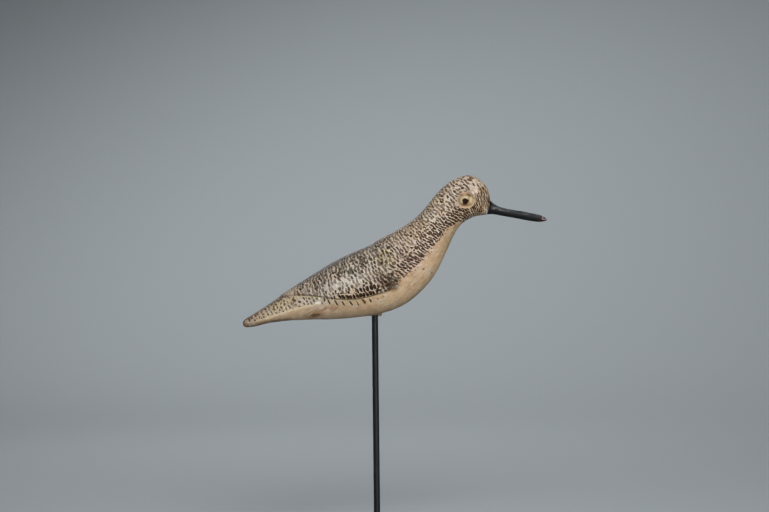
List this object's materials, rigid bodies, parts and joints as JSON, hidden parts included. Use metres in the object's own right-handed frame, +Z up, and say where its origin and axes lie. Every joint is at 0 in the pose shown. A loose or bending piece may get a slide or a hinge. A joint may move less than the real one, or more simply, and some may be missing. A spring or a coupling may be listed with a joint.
{
  "type": "shorebird decoy",
  "caption": "Carved and painted wooden shorebird decoy with a straight tapered bill, held level on a slim black rod with a round foot.",
  "frame": {"origin": "middle of the foot's underside, on the rod's axis", "axes": "+Z up along the rod, +X the way the bird faces, Y across the bird"},
  "size_m": [0.3054, 0.12, 0.3692],
  "materials": {
    "painted_wood": "old oil paint worn thin over carved wood, cream below, rows of short dark strokes above, satin",
    "bill_paint": "black paint, semi-gloss, rubbed grey along the top and chipped at the tip",
    "black_metal": "black, satin, lightly rubbed"
  },
  "bodies": {
    "root": {"bird": "painted_wood", "bill": "bill_paint", "rod": "black_metal", "foot": "black_metal"}
  },
  "joints": []
}
